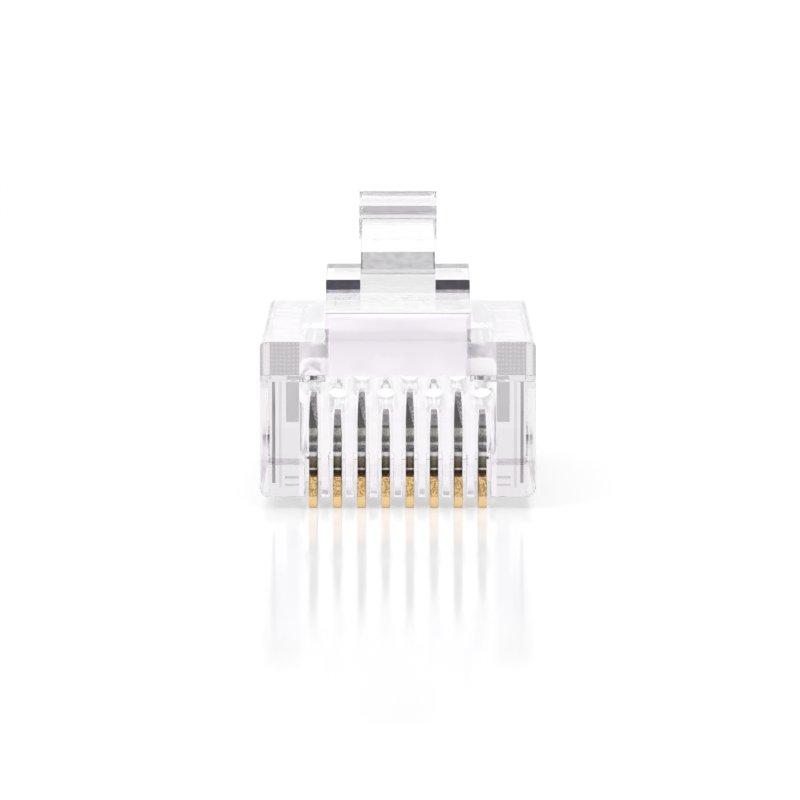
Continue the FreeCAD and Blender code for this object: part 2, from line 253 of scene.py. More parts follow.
class Nodes:
    """A material's node tree, with short calls to add nodes and join them."""

    def __init__(self, name: str) -> None:
        """Start an empty material.

        Args:
            name: The material's name.
        """
        self.material = bpy.data.materials.new(name)
        self.material.use_nodes = True
        self.tree = self.material.node_tree
        self.tree.nodes.clear()
        self.output = self.add("ShaderNodeOutputMaterial")

    @classmethod
    def of_world(cls, world: bpy.types.World) -> "Nodes":
        """Open a world's node tree with only its output in it.

        Args:
            world: The world.

        Returns:
            The world's nodes.
        """
        nodes = cls.__new__(cls)
        nodes.tree = world.node_tree
        nodes.tree.nodes.clear()
        nodes.output = nodes.add("ShaderNodeOutputWorld")
        return nodes

    def add(self, kind: str, **settings: object) -> Node:
        """Add a node.

        Args:
            kind: The node's type.
            settings: Values for its properties, or for its inputs by name.

        Returns:
            The new node.
        """
        node = self.tree.nodes.new(kind)
        for key, value in settings.items():
            if hasattr(node, key):
                setattr(node, key, value)
            else:
                node.inputs[key.replace("_", " ")].default_value = value
        return node

    def join(self, source: Source, target: Socket) -> None:
        """Link one socket to another, or give it a plain value."""
        if isinstance(source, Socket):
            self.tree.links.new(source, target)
        else:
            target.default_value = source

    def mask(self, name: str) -> Socket:
        """Read one of the faces' own values by its name."""
        return self.add("ShaderNodeAttribute", attribute_name=name).outputs["Fac"]

    def work_out(self, operation: str, *sources: Source) -> Socket:
        """Add a math node.

        Args:
            operation: What it does.
            sources: What it works on, in order.

        Returns:
            Its result.
        """
        node = self.add("ShaderNodeMath", operation=operation)
        for source, entry in zip(sources, node.inputs):
            self.join(source, entry)
        return node.outputs["Value"]

    def mix(self, share: Source, first: Source, second: Source, kind: str = "RGBA",
            blend: str = "MIX") -> Socket:
        """Mix two colours or two values.

        Args:
            share: The share of the second.
            first: The first colour or value.
            second: The second.
            kind: RGBA for colours, FLOAT for values.
            blend: How colours are mixed.

        Returns:
            The mixture.
        """
        node = self.add("ShaderNodeMix", data_type=kind, blend_type=blend)
        for source, entry in ((share, "Factor"), (first, "A"), (second, "B")):
            self.join(source, node.inputs[entry])
        return node.outputs["Result"]

    def lay_over(self, share: Source, first: Node, second: Node) -> Node:
        """Mix two shaders.

        Args:
            share: The share of the second, or 1 for the kind of ray that sees the second alone.
            first: The first shader.
            second: The second.

        Returns:
            The node that mixes them.
        """
        node = self.add("ShaderNodeMixShader")
        for source, entry in zip((share, first.outputs[0], second.outputs[0]), node.inputs):
            self.join(source, entry)
        return node

    def noise(self, place: Socket, scale: float, detail: float = 3.0) -> Socket:
        """Add a noise pattern.

        Args:
            place: Where it is read.
            scale: How fine it is, per metre.
            detail: How many finer layers it has.

        Returns:
            The pattern, from 0 to 1.
        """
        node = self.add("ShaderNodeTexNoise", Scale=scale, Detail=detail)
        self.join(place, node.inputs["Vector"])
        return node.outputs["Fac"]

    def ramp(self, source: Socket, stops: Stops) -> Socket:
        """Add a colour ramp that a value drives.

        Args:
            source: The value.
            stops: Positions from 0 to 1, each with its colour.

        Returns:
            The ramp's colour.
        """
        ramp = self.add("ShaderNodeValToRGB")
        band = ramp.color_ramp
        stops = list(stops)
        while len(band.elements) < len(stops):
            band.elements.new(0.5)
        for element, (place, colour) in zip(band.elements, stops):
            element.position = place
            element.color = (*colour, 1.0)
        self.join(source, ramp.inputs["Fac"])
        return ramp.outputs["Color"]

    def between(self, source: Socket, low: float, high: float, start: float = 0.0, end: float = 1.0,
                clamp: bool = True) -> Socket:
        """Carry a value over to another range.

        Args:
            source: The value.
            low: What start becomes.
            high: What end becomes.
            start: The first value of the old range.
            end: The last value of the old range.
            clamp: Whether the new value stays within the new range.

        Returns:
            The new value.
        """
        node = self.add("ShaderNodeMapRange", clamp=clamp)
        for entry, value in (("From Min", start), ("From Max", end), ("To Min", low), ("To Max", high)):
            node.inputs[entry].default_value = value
        self.join(source, node.inputs["Value"])
        return node.outputs["Result"]

    def bump(self, height: Socket, strength: float, depth: float) -> Socket:
        """Add a bump that a height drives.

        Args:
            height: The height, from 0 to 1.
            strength: How much of the bump shows.
            depth: What a height of 1 stands for, in metres.

        Returns:
            The bumped normal.
        """
        bump = self.add("ShaderNodeBump", Strength=strength, Distance=depth)
        self.join(height, bump.inputs["Height"])
        return bump.outputs["Normal"]


@dataclass(frozen=True)
class ClearPlastic:
    """Clear moulded polycarbonate with a faint violet cast, soft flow marks and matt places, and painted shade
    and painted white light on chosen faces.

    Attributes:
        name: The material's name.
        ior: The plastic's index of refraction.
        absorption: How fast light fades inside, per metre.
        tint: The colour that survives a long way inside.
        polish: The lowest and highest roughness of a polished face.
        matt: The lowest and highest roughness of a matt face.
        clarity: The share of light that a matt face lets in unscattered.
        frost_and_painted_white: The colour of a matt face, and of painted white light on a face.
        painted_shade_grey: The colour that full painted shade gives the light a face lets in.
        unevenness: The least and the most that fine upright streaks leave of a face's painted shade.
        weave_scale: How fine the woven tool mark is.
        weave_wander: How far its lines wander.
        clean: The colour of a polished face.
        cloud_scale: How fine the patches of roughness are.
        streak_scale: How fine the upright streaks in the painted shade are.
        flow_scale: How fine the flow marks are.
        flow: How much of the flow marks shows, and how deep they are.
        stretch: How much of a pattern's fineness stays along each axis, for streaks and flow marks.
    """

    name: str = "clear_polycarbonate"
    ior: float = 1.58
    absorption: float = 20.0
    tint: Colour = (0.60, 0.545, 0.61)
    polish: Pair = (0.0, 0.012)
    matt: Pair = (0.3, 0.5)
    clarity: float = 0.45
    frost_and_painted_white: Colour = (0.98, 0.93, 0.98)
    painted_shade_grey: Colour = (0.10, 0.095, 0.11)
    unevenness: Pair = (0.55, 1.45)
    weave_scale: float = 1700.0
    weave_wander: float = 2.5
    clean: Colour = (1.0, 0.998, 1.0)
    cloud_scale: float = 900.0
    streak_scale: float = 4000.0
    flow_scale: float = 700.0
    flow: Pair = (0.15, 0.03 * MM)
    stretch: Triple = (1.0, 1.0, 0.08)

    def make(self) -> Material:
        """Build the material's nodes.

        Returns:
            The finished material.
        """
        nodes = Nodes(self.name)
        place = nodes.add("ShaderNodeTexCoord").outputs["Object"]
        matt, painted_white, painted_shade, grain = (nodes.mask(part.name) for part in fields(FaceLook))
        cloud = nodes.noise(place, self.cloud_scale)
        rough = nodes.mix(matt, nodes.between(cloud, *self.polish), nodes.between(cloud, *self.matt), "FLOAT")
        # Matt faces are milky of their own; painted white light makes other faces milky and whitish too.
        frost_and_painted_white_share = nodes.work_out("MAXIMUM", matt, painted_white)
        clear = nodes.between(frost_and_painted_white_share, 1.0, self.clarity)
        body = nodes.ramp(frost_and_painted_white_share, ((0.0, self.clean), (1.0, self.frost_and_painted_white)))
        upright = nodes.add("ShaderNodeMapping", Scale=self.stretch)
        nodes.join(place, upright.inputs["Vector"])
        drawn = upright.outputs["Vector"]
        # Painted shade, broken into fine upright streaks, and the woven tool mark grey the colour.
        uneven = nodes.between(nodes.noise(drawn, self.streak_scale), *self.unevenness)
        streaked = nodes.work_out("MULTIPLY", painted_shade, uneven)
        weave_and_painted_shade = nodes.work_out("MULTIPLY_ADD", self.weave(nodes, place), grain, streaked)
        weave_and_painted_shade_colour = nodes.ramp(weave_and_painted_shade, ((0.0, WHITE), (1.0, self.painted_shade_grey)))
        colour = nodes.mix(1.0, body, weave_and_painted_shade_colour, blend="MULTIPLY")
        bump = nodes.bump(nodes.noise(drawn, self.flow_scale, 2.0), *self.flow)
        shader = nodes.add("ShaderNodeBsdfPrincipled", IOR=self.ior)
        for source, entry in ((rough, "Roughness"), (clear, "Transmission Weight"), (colour, "Base Color"),
                              (bump, "Normal")):
            nodes.join(source, shader.inputs[entry])
        inside = nodes.add("ShaderNodeVolumeAbsorption", Density=self.absorption, Color=(*self.tint, 1.0))
        nodes.join(shader.outputs["BSDF"], nodes.output.inputs["Surface"])
        nodes.join(inside.outputs["Volume"], nodes.output.inputs["Volume"])
        return nodes.material

    def weave(self, nodes: Nodes, place: Socket) -> Socket:
        """Cross two sets of fine lines, one upright and one level.

        Args:
            nodes: The material's nodes.
            place: The texture coordinates.

        Returns:
            The pattern, from 0 to 1.
        """
        crossed = []
        for direction in ("X", "Z"):
            lines = nodes.add("ShaderNodeTexWave", Scale=self.weave_scale, Distortion=self.weave_wander,
                              bands_direction=direction)
            nodes.join(place, lines.inputs["Vector"])
            crossed.append(lines.outputs["Fac"])
        return nodes.work_out("MAXIMUM", *crossed)


@dataclass(frozen=True)
class PlatedBlade:
    """Nickel-plated bronze with a gold crown, stamped and lightly streaked, with bands of painted shade and
    painted highlights up its height.

    Attributes:
        name: The material's name.
        tip: The bands from the crown's shoulder up to the tines' points, as in plating_and_painted_bands.
        wedge: Whether a dark wedge runs up the tines, as on the tall blades.
        first: The place across the plug of one of these blades.
        full_height: The height of the tallest blade's tip.
        thickness: The blades' thickness.
        repeat: From one of these blades to the next, across the plug.
        wedge_up: The heights between which the wedge narrows.
        wedge_edge: Where the wedge's edge starts to fade, as a share of the way across.
        fleck: The colour of the dark flecks.
        fleck_scale: How fine the flecks and streaks are.
        fleck_edge: Between which values of that pattern a fleck ends.
        polish: The lowest and highest roughness.
        relief: How much of the streaks' relief shows, and how deep it is.
        plating_and_painted_bands: Heights in millimetres, each with the colour there and how thick the flecks
            lie on it: gold and nickel plating, with painted shade in the near-black and dark brown bands and
            painted highlights in the narrow white ones.
    """

    name: str
    tip: tuple[tuple[float, Colour, float], ...]
    wedge: bool = False
    first: float = 0.0
    full_height: float = 5.2 * MM
    thickness: float = 0.35 * MM
    repeat: float = 2.04 * MM
    wedge_up: Pair = (3.45 * MM, 4.85 * MM)
    wedge_edge: float = 0.85
    fleck: Colour = (0.02, 0.012, 0.01)
    fleck_scale: float = 16000.0
    fleck_edge: Pair = (0.46, 0.55)
    polish: Pair = (0.22, 0.42)
    relief: Pair = (0.35, 0.02 * MM)
    plating_and_painted_bands: tuple[tuple[float, Colour, float], ...] = (
        (0.00, (0.80, 0.53, 0.24), 0.05),
        (0.06, (0.92, 0.68, 0.36), 0.05),
        (0.48, (0.90, 0.64, 0.33), 0.05),
        (0.52, (0.85, 0.56, 0.25), 0.50),
        (1.33, (0.88, 0.58, 0.25), 0.60),
        # Painted shade: a near-black band where the slot shades the plating.
        (1.38, (0.05, 0.03, 0.02), 0.40),
        (1.53, (0.08, 0.05, 0.03), 0.40),
        # Painted highlight: a thin light line at a step's edge.
        (1.56, (0.80, 0.75, 0.68), 0.10),
        (1.60, (0.80, 0.75, 0.68), 0.10),
        # Painted shade on the plating, lighter towards the top.
        (1.63, (0.13, 0.10, 0.06), 0.45),
        (2.10, (0.34, 0.29, 0.22), 0.50),
        # Painted reflection: a whitish strip from the slot's roof.
        (2.15, (0.90, 0.86, 0.90), 0.10),
        (2.36, (0.90, 0.86, 0.90), 0.10),
        (2.38, (0.40, 0.37, 0.38), 0.80),
        (2.62, (0.50, 0.47, 0.48), 0.80),
        # Painted highlight: a thin white line.
        (2.66, (1.00, 1.00, 1.00), 0.00),
        (2.72, (1.00, 1.00, 1.00), 0.05),
        (2.76, (0.70, 0.66, 0.64), 1.00),
        (2.80, (0.12, 0.10, 0.10), 1.00),
        (2.95, (0.20, 0.18, 0.16), 1.00),
        (3.08, (0.98, 0.95, 0.82), 0.40),
        (3.33, (0.98, 0.95, 0.84), 0.40),
        (3.37, (0.04, 0.03, 0.03), 0.20),
        (3.45, (0.04, 0.03, 0.03), 0.20),
    )

    def make(self) -> Material:
        """Build the material's nodes.

        Returns:
            The finished material.
        """
        nodes = Nodes(self.name)
        place = nodes.add("ShaderNodeTexCoord").outputs["Object"]
        parts = nodes.add("ShaderNodeSeparateXYZ")
        nodes.join(place, parts.inputs["Vector"])
        height = nodes.between(parts.outputs["Z"], 0.0, 1.0, end=self.full_height)
        levels = [(z * MM / self.full_height, rgb, share) for z, rgb, share in self.plating_and_painted_bands + self.tip]
        # The colours by height: plating, with the bands' painted shade and painted highlights.
        plating_and_painted_light = nodes.ramp(height, [(z, rgb) for z, rgb, _ in levels])
        thickness = nodes.ramp(height, [(z, (share, share, share)) for z, _, share in levels])
        streaks = nodes.noise(place, self.fleck_scale)
        flecks = nodes.ramp(streaks, zip(self.fleck_edge, (WHITE, BLACK)))
        share = nodes.work_out("MULTIPLY", flecks, thickness)
        colour = nodes.mix(share, self.wedged(nodes, parts, plating_and_painted_light), (*self.fleck, 1.0))
        rough = nodes.between(streaks, *self.polish)
        bump = nodes.bump(streaks, *self.relief)
        shader = nodes.add("ShaderNodeBsdfPrincipled", Metallic=1.0)
        for source, entry in ((colour, "Base Color"), (rough, "Roughness"), (bump, "Normal")):
            nodes.join(source, shader.inputs[entry])
        nodes.join(shader.outputs["BSDF"], nodes.output.inputs["Surface"])
        return nodes.material

    def wedged(self, nodes: Nodes, parts: Node, plating_and_painted_light: Socket) -> Socket:
        """Lay the dark wedge over the colour of the tines.

        Args:
            nodes: The material's nodes.
            parts: The node that splits a place into its three parts.
            plating_and_painted_light: The bands' colour, plating with its painted shade and highlights.

        Returns:
            The colour, which is the bands' colour itself where there is no wedge.
        """
        if not self.wedge:
            return plating_and_painted_light
        half = 0.5 * self.thickness
        beside = nodes.work_out("SUBTRACT", parts.outputs["X"], self.first)
        across = nodes.work_out("WRAP", beside, 0.5 * self.repeat, -0.5 * self.repeat)
        side = nodes.between(across, 0.0, 1.0, -half, half, clamp=False)
        rise = nodes.between(parts.outputs["Z"], 0.0, 1.0, *self.wedge_up, clamp=False)
        narrowing = nodes.ramp(nodes.work_out("ADD", side, rise), ((self.wedge_edge, WHITE), (1.0, BLACK)))
        above = nodes.work_out("GREATER_THAN", rise, 0.0)
        there = nodes.work_out("MULTIPLY", narrowing, above)
        return nodes.mix(there, plating_and_painted_light, (*self.fleck, 1.0))


def both_sides(*distances: float) -> list[float]:
    """Give each distance from the plug's middle to the left and to the right."""
    return [distance * side for distance in distances for side in (-1, 1)]


@dataclass
class ClearMoulding:
    """The plug's moulding: body, post, latch arm, catches and tab as one clear skin.

    Attributes:
        plastic: The clear plastic.
        top: The height of the body's top.
        hinge_setback: From the nose back to the middle of the flexing post.
        hinge_rise: From the body's top up to that middle.
        neck_radius: The radius of the plastic round that middle, which fills the frame's play there.
        neck_sides: How many sides that round plastic has.
        neck_gap: The frame's play below the latch, which the one-piece moulding closes.
        flex_length: The height over which the post bends; not used.
        post_lean: How far the post leans forward, in degrees; not used.
        post_depth: From the nose back to where the post's matt sides end.
        cut_depth: From the nose back to where the post's cut corners end.
        cut_wedge: The lowest and highest point of the shaded part of those corners.
        ledge_drop: From the body's top down to the step across the nose.
        front_round: The radius of the nose's edges.
        front_rise: From the body's top up to the last of those edges.
        upright_corner: The place from the plug's middle, and back from the nose, of its upright corners.
        rim_across: From the plug's middle out to a rear pad's inner side, its waist's outer side and its own.
        rim_up: The height of a pad's lower end, the top of its waist, its upper end and the shadow on it.
        slit_half: Half the width of a contact slit and its play.
        slits_across: From the plug's middle out past the last slit.
        slits_top: The height up to which the ribs between the slits are bloomed.
        feet_top: The height of those ribs' lower ends.
        speck: The greatest area of a face of the nose that has no look of its own, in square metres.
        flat_area: The least area of a face that counts as flat, in square metres.
        crease: The angle above which an edge stays sharp, in degrees.
        arm_edges: For each pair of long edges that is rounded, its distance from the plug's middle, lowest
            and highest place, foremost place and radius.
        edge_length: How long an edge has to be to be one of them.
        arm_rise: From the body's top up to the lowest upper face of the arm that has a look of its own.
        arm_half: From the plug's middle out to the last such face's middle.
        arm_up: The heights between which the arm's long upper side is looked for.
        arm_end: Where along the plug that side ends.
        catch_front: Where along the plug the catches' sloping fronts begin and end.
        thumb_start: Where along the plug the thumb pad's step begins.
        pad: The look of the rear rim's pads: matt, with painted shade.
        woven_pad: The look of their upper ends.
        rim_shadow: The look of the dark line above the outer part of each upper end.
        corner: The look of the nose's outermost strips and rounded upright corners: painted white light.
        painted_corner_streak: The look of the dark streak of painted shade down each corner of the nose.
        painted_side_streak: The look of the fainter streak of painted shade beside it.
        painted_foot_line: The look of the level lines of painted shade at the foot of each corner.
        post: The look of the flexing post.
        post_wedge: The look of the middle of its cut corners: half matt, with painted shade.
        ribs: The look of the nose between the slits: painted white light.
        rib_feet: The look of the lower ends of those ribs: painted white light.
        above: The look of the nose above the slits: painted white light.
        beside_post: The look of the upper nose beside the post: painted white light.
        body_top: The look of the body's top: painted white light, standing in for its reflection at a low
            angle.
        catch: The look of the arm between the catches: painted shade.
        sloped: The look of the catches' sloping fronts: painted shade.
        bend: The look of the arm's step up to the tab: painted shade.
        step: The look of the tab's step up to its thumb pad: painted white light and painted shade.
        thumb: The look of the thumb pad: painted white light and painted shade.
    """

    plastic: Material
    top: float = 7.0 * MM
    hinge_setback: float = 0.66 * MM
    hinge_rise: float = 0.30 * MM
    neck_radius: float = 0.52 * MM
    neck_sides: int = 48
    neck_gap: float = 0.04 * MM
    flex_length: float = 0.40 * MM
    post_lean: float = 4.0
    post_depth: float = 1.4 * MM
    cut_depth: float = 0.3 * MM
    cut_wedge: Pair = (6.35 * MM, 7.6 * MM)
    ledge_drop: float = 1.4 * MM
    front_round: float = 0.05 * MM
    front_rise: float = 0.8 * MM
    upright_corner: Pair = (5.6 * MM, 0.2 * MM)
    rim_across: Triple = (4.17 * MM, 4.93 * MM, 5.66 * MM)
    rim_up: tuple[float, float, float, float] = (2.27 * MM, 4.27 * MM, 6.5 * MM, 6.6 * MM)
    slit_half: float = 0.33 * MM
    slits_across: float = 4.15 * MM
    slits_top: float = 3.65 * MM
    feet_top: float = 1.35 * MM
    speck: float = 0.02 * MM * MM
    flat_area: float = 0.3 * MM * MM
    crease: float = 38.0
    arm_edges: tuple[tuple[float, float, float, float, float], ...] = (
        (1.71 * MM, 11.6 * MM, 12.3 * MM, 4.7 * MM, 0.12 * MM),
        (1.60 * MM, 10.1 * MM, 11.2 * MM, -1.7 * MM, 0.06 * MM),
        (3.06 * MM, 9.25 * MM, 9.8 * MM, -6.5 * MM, 0.05 * MM))
    edge_length: float = 0.3 * MM
    arm_rise: float = 1.2 * MM
    arm_half: float = 1.2 * MM
    arm_up: Pair = (8.4 * MM, 9.4 * MM)
    arm_end: float = -2.6 * MM
    catch_front: Pair = (-6.85 * MM, -6.40 * MM)
    thumb_start: float = 4.3 * MM
    # The lower rear pads are matt with painted shade; their upper ends are matt with the woven tool mark; the
    # line above is painted shadow.
    pad: FaceLook = FaceLook(matt=0.6, painted_shade=0.25)
    woven_pad: FaceLook = FaceLook(matt=0.6, grain=0.33)
    rim_shadow: FaceLook = FaceLook(painted_shade=0.9)
    # Painted white light on the nose's outer strips; painted shade in the streaks and level lines of its
    # corners.
    corner: FaceLook = FaceLook(painted_white=0.6)
    painted_corner_streak: FaceLook = FaceLook(painted_shade=0.95)
    painted_side_streak: FaceLook = FaceLook(painted_shade=0.3)
    painted_foot_line: FaceLook = FaceLook(painted_shade=0.5)
    # The post is matt; the middle of its cut corners carries painted shade.
    post: FaceLook = FaceLook(matt=1.0)
    post_wedge: FaceLook = FaceLook(matt=0.5, painted_shade=0.4)
    # Painted white light on the nose's ribs, above them, beside the post and on the body's top.
    ribs: FaceLook = FaceLook(painted_white=0.6)
    rib_feet: FaceLook = FaceLook(painted_white=0.75)
    above: FaceLook = FaceLook(painted_white=0.55)
    beside_post: FaceLook = FaceLook(painted_white=0.7)
    body_top: FaceLook = FaceLook(painted_white=0.7)
    # Bands of painted shade and painted white light along the latch's arm and tab.
    catch: FaceLook = FaceLook(painted_shade=0.32)
    sloped: FaceLook = FaceLook(painted_shade=0.9)
    bend: FaceLook = FaceLook(painted_shade=0.7)
    step: FaceLook = FaceLook(painted_white=0.55, painted_shade=0.12)
    thumb: FaceLook = FaceLook(painted_white=0.3, painted_shade=0.2)

    def __post_init__(self) -> None:
        """Read the frame's boxes of the body, the latch and the contacts, and lay out the painted shade and
        painted white light on the nose's corners.
        """
        low, self.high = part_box("housing")
        self.latch_low, self.latch_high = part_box("latch")
        self.nose = low.y
        self.ledge = self.top - self.ledge_drop
        self.upper_nose = self.high.z - self.ledge_drop
        boxes = [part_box(f"contact_{number}") for number in range(1, CONTACTS + 1)]
        self.slits = [start.lerp(end, 0.5).x for start, end in boxes]
        # Painted shade streaks and lines, and painted white light, on the nose's corners.
        self.corner_painted_light_and_shade = (((5.15 * MM, 5.28 * MM), (1.10 * MM, 5.42 * MM), self.painted_corner_streak),
                             ((4.88 * MM, 5.00 * MM), (0.90 * MM, 5.42 * MM), self.painted_side_streak),
                             ((5.45 * MM, 5.80 * MM), (0.70 * MM, 5.10 * MM), self.corner),
                             ((3.98 * MM, 4.75 * MM), (1.28 * MM, 1.40 * MM), self.painted_foot_line),
                             ((3.98 * MM, 4.75 * MM), (0.98 * MM, 1.06 * MM), self.painted_foot_line))

    def neck(self) -> Piece:
        """Model the round core of the flexing post.

        Returns:
            The core, a closed bar across the post.
        """
        middle = (0.0, self.nose + self.hinge_setback, self.top + self.hinge_rise)
        bpy.ops.object.select_all(action="DESELECT")
        bpy.ops.mesh.primitive_cylinder_add(
            vertices=self.neck_sides, radius=self.neck_radius, depth=self.latch_high.x - self.latch_low.x,
            location=middle, rotation=(0.0, math.radians(90), 0.0))
        core = bpy.context.active_object
        bpy.ops.object.transform_apply(location=True, rotation=True, scale=True)
        return core

    def split_faces(self, piece: Piece, wanted: Callable[[Face], bool], **cuts: Iterable[float]) -> None:
        """Divide flat faces, so that parts of them can have a look of their own.

        Args:
            piece: The fused moulding.
            wanted: Takes a face and says whether it is divided.
            cuts: Under x, y or z, where along that axis the cuts lie.
        """
        for axis, places in cuts.items():
            normal = Vector([float(axis == name) for name in "xyz"])
            for place in places:
                select(piece, "FACE", wanted)
                bpy.ops.mesh.bisect(plane_co=normal * place, plane_no=normal, threshold=CUT_REACH)
                leave_edit()

    def on_nose(self, face: Face) -> bool:
        """Say whether a face lies on the flat of the nose."""
        return near(face.center.y, self.nose) and face.normal.y < -FACING

    def on_nose_corner(self, face: Face) -> bool:
        """Say whether a face lies on the flat of the nose, beside the slits."""
        return self.on_nose(face) and abs(face.center.x) > self.slits_across

    def on_upright_corner(self, face: Face) -> bool:
        """Say whether a face is part of the nose's rounded upright corners."""
        across, depth = self.upright_corner
        return 0.3 < abs(face.normal.x) < 0.95 and face.center.y < self.nose + depth and (
            abs(face.center.x) > across)

    def on_upper_nose(self, face: Face) -> bool:
        """Say whether a face is the nose above its ledge."""
        return self.upper_nose < face.center.z < self.high.z and face.normal.y < -0.9 and (
            abs(face.center.x) > self.latch_high.x)

    def on_rim(self, face: Face) -> bool:
        """Say whether a face lies on the flat rim at the rear."""
        return near(face.center.y, self.high.y) and face.normal.y > FACING

    def on_post_corner(self, face: Face) -> bool:
        """Say whether a face is one of the post's cut corners."""
        return self.nose < face.center.y < self.nose + self.cut_depth and (
            0.6 < abs(face.normal.x) < 0.8 and face.center.z > self.upper_nose)

    def on_post(self, face: Face) -> bool:
        """Say whether a face is part of the flexing post."""
        return abs(face.center.x) < self.latch_high.x + SLACK and (
            face.center.z > self.ledge - self.front_round and face.center.y < self.nose + self.post_depth)

    def on_latch_side(self, face: Face) -> bool:
        """Say whether a face is a side of the post and the arm."""
        return near(abs(face.center.x), self.latch_high.x) and abs(face.normal.x) > FACING

    def on_arm(self, face: Face) -> bool:
        """Say whether a face is the arm's long upper side."""
        return self.arm_up[0] < face.center.z < self.arm_up[1] and face.normal.z > 0.97

    def on_sloped_front(self, face: Face) -> bool:
        """Say whether a face is the sloping front of a catch."""
        return near(face.center.y, 0.5 * sum(self.catch_front), 10 * SLACK) and 0.6 < face.normal.z < 0.7

    def look_of(self, face: Face) -> FaceLook:
        """Say how a face departs from polished clear plastic.

        Args:
            face: A face of the moulding.

        Returns:
            The face's look.
        """
        place, across = face.center, abs(face.center.x)
        if self.on_post_corner(face) and self.cut_wedge[0] < place.z < self.cut_wedge[1]:
            return self.post_wedge
        if self.on_upright_corner(face):
            return self.corner
        if self.on_post(face):
            return self.post
        if self.on_rim(face):
            return self.rim_look(across, place.z)
        if self.on_nose_corner(face):
            return self.corner_look(across, place.z)
        if self.on_nose(face):
            return self.rib_look(face)
        if near(place.z, self.top) and face.normal.z > FACING:
            return self.body_top
        if self.on_sloped_front(face):
            return self.sloped
        if self.on_upper_nose(face) and across < self.slits_across:
            return self.beside_post
        if place.z > self.top + self.arm_rise and face.normal.z > 0.7 and across < self.arm_half:
            return self.arm_look(place, face.normal)
        return FaceLook()

    def rim_look(self, across: float, height: float) -> FaceLook:
        """Say how a face of the rear rim looks.

        Args:
            across: From the plug's middle out to the face.
            height: The face's height.

        Returns:
            The face's look.
        """
        inner, waist, outer = self.rim_across
        low, shoulder, high, brim = self.rim_up
        if inner < across < outer and shoulder < height < high:
            return self.woven_pad
        if waist < across < outer and high < height < brim:
            return self.rim_shadow
        return self.pad if inner < across < waist and low < height < shoulder else FaceLook()

    def corner_look(self, across: float, height: float) -> FaceLook:
        """Say how a face of the nose beside the slits looks.

        Args:
            across: From the plug's middle out to the face.
            height: The face's height.

        Returns:
            The face's look.
        """
        for (start, end), (low, high), look in self.corner_painted_light_and_shade:
            if start < across < end and low < height < high:
                return look
        return FaceLook()

    def rib_look(self, face: Face) -> FaceLook:
        """Say how a face of the nose between or above the slits looks.

        Args:
            face: The face.

        Returns:
            The face's look.
        """
        from_slit = min(abs(face.center.x - x) for x in self.slits)
        if from_slit < self.slit_half or face.area < self.speck:
            return FaceLook()
        if face.center.z < self.feet_top:
            return self.rib_feet
        return self.ribs if face.center.z < self.slits_top else self.above

    def arm_look(self, place: Vector, normal: Vector) -> FaceLook:
        """Say how a face on top of the latch's arm looks.

        Args:
            place: The face's middle.
            normal: The face's direction.

        Returns:
            The face's look.
        """
        level = normal.z > 0.9
        if place.y > self.thumb_start:
            return self.thumb if level else self.step
        if not level:
            return self.bend
        return self.catch if self.catch_front[0] < place.y < self.arm_end else FaceLook()

    def build(self) -> Piece:
        """Fuse the body, the latch and the core between them, and soften the edges.

        Returns:
            The finished piece.
        """
        piece = take_copy("housing", "clear_moulding")
        latch = take_copy("latch", "latch_arm")
        seam = self.top + self.hinge_rise + self.neck_gap
        select(latch, "VERT", lambda v: near(v.co.z, seam) and v.co.y < self.nose + self.hinge_setback)
        bpy.ops.transform.translate(value=(0.0, 0.0, -2 * self.neck_gap))
        leave_edit()
        fuse(latch, self.neck())
        fuse(piece, latch)
        join_flats(piece)
        self.split_faces(piece, self.on_nose, z=[self.ledge])
        self.round_front(piece)
        self.round_arm(piece)
        self.divide(piece)
        smooth(piece, self.crease,
               lambda face: face.area > self.flat_area or self.on_nose(face) or self.on_rim(face))
        return piece

    def round_front(self, piece: Piece) -> None:
        """Round the edges of the nose, but for the step across it below the post.

        Args:
            piece: The fused moulding.
        """
        count = select(
            piece, "EDGE", lambda a, b: near(a.y, self.nose) and near(b.y, self.nose)
            and min(a.z, b.z) < self.top + self.front_rise
            and not (near(a.z, self.ledge) and near(b.z, self.ledge)
                     and max(abs(a.x), abs(b.x)) < self.latch_high.x + SLACK))
        bpy.ops.mesh.bevel(offset=self.front_round, segments=2, affect="EDGES", clamp_overlap=False)
        leave_edit()
        LOG.info("front edges: %d", count)

    def round_arm(self, piece: Piece) -> None:
        """Round the long upper edges of the arm, the catches, the tab and the thumb pad.

        Args:
            piece: The fused moulding.
        """
        for half, low, high, behind, radius in self.arm_edges:
            select(piece, "EDGE", lambda a, b: abs(a.y - b.y) > self.edge_length and all(
                near(abs(p.x), half) and low < p.z < high and p.y > behind for p in (a, b)))
            bpy.ops.mesh.bevel(offset=radius, segments=3, affect="EDGES", clamp_overlap=True)
            leave_edit()

    def divide(self, piece: Piece) -> None:
        """Divide the flats where one look ends and another begins.

        Args:
            piece: The rounded moulding.
        """
        def below_ledge(face: Face) -> bool:
            """Say whether a face lies on the nose below its ledge."""
            return self.on_nose(face) and face.center.z < self.ledge

        self.split_faces(piece, self.on_rim, x=both_sides(*self.rim_across), z=self.rim_up)
        self.split_faces(piece, below_ledge, z=(self.feet_top, self.slits_top))
        self.split_faces(piece, below_ledge, x=both_sides(self.slits_across))
        self.split_faces(piece, below_ledge,
                         x=[x + side for x in self.slits for side in both_sides(self.slit_half)])
        self.split_faces(piece, self.on_upper_nose, x=both_sides(self.slits_across))
        for across, heights, _ in self.corner_painted_light_and_shade:
            self.split_faces(piece, self.on_nose_corner, x=both_sides(*across), z=heights)
        self.split_faces(piece, self.on_post_corner, z=self.cut_wedge)
        self.split_faces(piece, self.on_arm, y=self.catch_front[:1])
        self.split_faces(piece, self.on_latch_side, y=[self.nose + self.post_depth])

